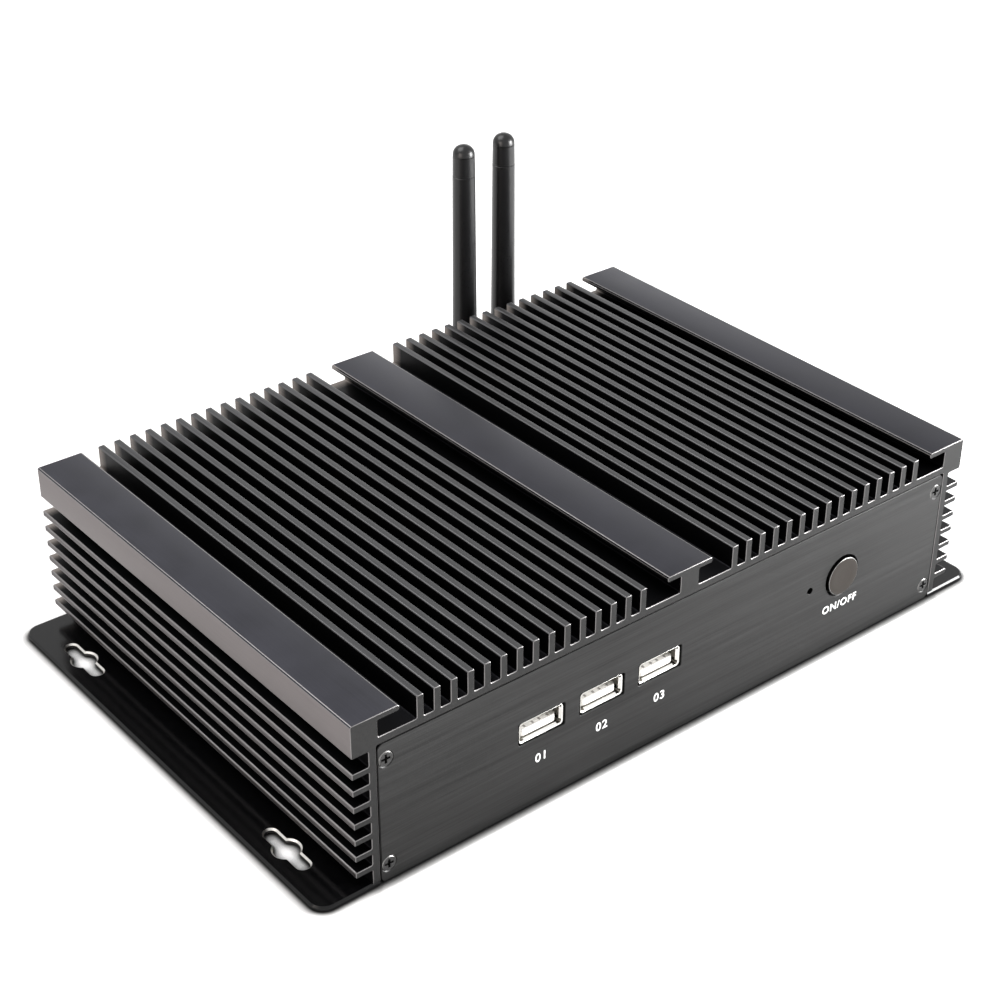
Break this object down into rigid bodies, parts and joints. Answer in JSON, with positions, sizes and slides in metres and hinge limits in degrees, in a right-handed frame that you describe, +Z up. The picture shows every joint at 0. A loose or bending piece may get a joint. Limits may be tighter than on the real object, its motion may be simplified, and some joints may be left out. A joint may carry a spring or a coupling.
{
  "type": "industrial mini computer",
  "caption": "Fanless industrial mini computer in a finned black aluminium extrusion, with front ports, a push button, mounting ears and jointed rod antennas.",
  "frame": {"origin": "centre of the base sheet's underside, between the two mounting ears", "axes": "+X along the front panel to the viewer's right, +Y from the front panel to the rear panel, +Z up"},
  "size_m": [0.2174, 0.159, 0.0933],
  "materials": {
    "anodised_case": "extruded aluminium, black anodised, satin",
    "brushed_panel": "brushed aluminium plate, black anodised",
    "base_sheet": "folded steel sheet, black semi-gloss powder coat",
    "dark_screw": "steel screw, black zinc",
    "zinc_screw": "zinc plated steel",
    "board_laminate": "glass fibre circuit board, green solder resist",
    "chip_package": "moulded epoxy chip package",
    "bare_aluminium": "milled aluminium",
    "silicone_pad": "soft silicone pad",
    "connector_plastic": "moulded black nylon",
    "plated_shell": "nickel plated steel shell",
    "port_insulator": "moulded white nylon",
    "button_metal": "turned aluminium cap, warm grey anodised",
    "lamp_lens": "smoked acrylic lens",
    "gold_plated_brass": "gold plated brass",
    "antenna_plastic": "moulded black thermoplastic elastomer, satin",
    "lead_sheath": "thin black cable sheath"
  },
  "bodies": {
    "case": {"heatsink_housing": "anodised_case", "front_panel": "brushed_panel", "rear_panel": "brushed_panel", "base_plate": "base_sheet", "panel_screws": "dark_screw", "base_screws": "dark_screw", "mainboard": "board_laminate", "board_standoffs": "zinc_screw", "mainboard_screws": "zinc_screw", "processor": "chip_package", "heat_transfer_block": "bare_aluminium", "block_screws": "zinc_screw", "thermal_pad": "silicone_pad", "memory_socket": "connector_plastic", "memory_module": "board_laminate", "storage_card_socket": "connector_plastic", "storage_card": "board_laminate", "wireless_card_socket": "connector_plastic", "wireless_card": "board_laminate", "clock_battery": "plated_shell", "switch_board": "board_laminate", "switch_board_posts": "zinc_screw", "switch_board_screws": "zinc_screw", "power_switch": "connector_plastic", "indicator_led": "lamp_lens", "dc_inlet": "connector_plastic", "dc_inlet_pin": "plated_shell", "video_port_shell": "plated_shell", "video_port_tongue": "connector_plastic", "antenna_socket_nuts": "gold_plated_brass", "switch_lead": "lead_sheath", "front_port_shell_1": "plated_shell", "front_port_tongue_1": "port_insulator", "front_port_shell_2": "plated_shell", "front_port_tongue_2": "port_insulator", "front_port_shell_3": "plated_shell", "front_port_tongue_3": "port_insulator", "rear_port_shell_1": "plated_shell", "rear_port_tongue_1": "port_insulator", "network_jack_1": "plated_shell", "audio_jack_1": "connector_plastic", "antenna_socket_1": "gold_plated_brass", "antenna_coupling_1": "antenna_plastic", "antenna_lead_1": "lead_sheath", "rear_port_shell_2": "plated_shell", "rear_port_tongue_2": "port_insulator", "network_jack_2": "plated_shell", "audio_jack_2": "connector_plastic", "antenna_socket_2": "gold_plated_brass", "antenna_coupling_2": "antenna_plastic", "antenna_lead_2": "lead_sheath"},
    "button": {"power_button": "button_metal", "switch_plunger": "connector_plastic"},
    "elbow_1": {"antenna_elbow_1": "antenna_plastic", "antenna_pin_1": "zinc_screw"},
    "whip_1": {"antenna_whip_1": "antenna_plastic"},
    "elbow_2": {"antenna_elbow_2": "antenna_plastic", "antenna_pin_2": "zinc_screw"},
    "whip_2": {"antenna_whip_2": "antenna_plastic"}
  },
  "joints": [
    {"name": "button_press", "type": "slide", "parent": "case", "child": "button", "axis": [0, 1, 0], "range_m": [0, 0.0012], "stiffness_N_per_m": 500, "springref_m": -0.001},
    {"name": "antenna_swivel_1", "type": "hinge", "parent": "case", "child": "elbow_1", "pos_m": [0.0526, 0.0778, 0.013], "axis": [0, 1, 0], "range_deg": [-90, 0]},
    {"name": "antenna_tilt_1", "type": "hinge", "parent": "elbow_1", "child": "whip_1", "pos_m": [0.0526, 0.085, 0.013], "axis": [-1, 0, 0], "range_deg": [0, 90]},
    {"name": "antenna_swivel_2", "type": "hinge", "parent": "case", "child": "elbow_2", "pos_m": [0.0675, 0.0778, 0.013], "axis": [0, 1, 0], "range_deg": [0, 90]},
    {"name": "antenna_tilt_2", "type": "hinge", "parent": "elbow_2", "child": "whip_2", "pos_m": [0.0675, 0.085, 0.013], "axis": [-1, 0, 0], "range_deg": [0, 90]}
  ]
}
